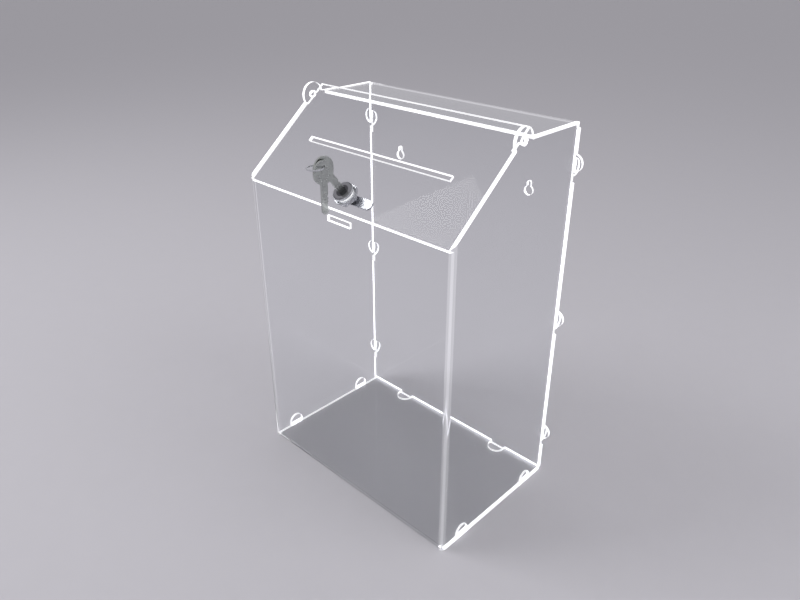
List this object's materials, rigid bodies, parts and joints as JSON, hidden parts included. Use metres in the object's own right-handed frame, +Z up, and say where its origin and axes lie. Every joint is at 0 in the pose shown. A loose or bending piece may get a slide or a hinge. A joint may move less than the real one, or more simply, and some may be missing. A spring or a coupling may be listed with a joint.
{
  "type": "ballot_box",
  "caption": "Clear acrylic ballot box with a slotted sloping lid hinged on round ears, a flat rear top, a cam lock with keys, and keyholes in the back",
  "frame": {"origin": "middle of the underside of the box", "axes": "X right, Y to the back, Z up, the front faces -Y"},
  "size_m": [0.263, 0.1929, 0.38],
  "materials": {
    "acrylic": "polished",
    "chrome": "polished",
    "steel": "satin"
  },
  "bodies": {
    "box": {"body_sheet": "acrylic", "back_sheet": "acrylic"},
    "lid": {"lid": "acrylic", "lock_housing": "chrome", "lock_washer": "steel", "lock_nut": "steel"},
    "lock_plug": {"lock_plug": "chrome", "lock_cam": "steel", "cam_screw": "steel"},
    "key": {"key": "steel"},
    "key_ring": {"key_ring": "steel"},
    "spare_key": {"spare_key": "steel"}
  },
  "joints": [
    {"name": "lid_hinge", "type": "hinge", "parent": "box", "child": "lid", "pos_m": [0, 0, 0.3685], "axis": [-1, 0, 0], "range_deg": [0, 180]},
    {"name": "lock_turn", "type": "hinge", "parent": "lid", "child": "lock_plug", "pos_m": [-0.006, -0.06725, 0.31298], "axis": [0, 0.6367, -0.7711], "range_deg": [0, 90]},
    {"name": "key_slide", "type": "slide", "parent": "lock_plug", "child": "key", "axis": [0, -0.6367, 0.7711], "range_m": [0, 0.015]},
    {"name": "ring_swing", "type": "hinge", "parent": "key", "child": "key_ring", "pos_m": [-0.006, -0.0917, 0.34209], "axis": [-1, 0, 0], "range_deg": [0, 40]},
    {"name": "spare_swing", "type": "hinge", "parent": "key_ring", "child": "spare_key", "pos_m": [-0.006, -0.0917, 0.34209], "axis": [-1, 0, 0], "range_deg": [0, 30]}
  ]
}
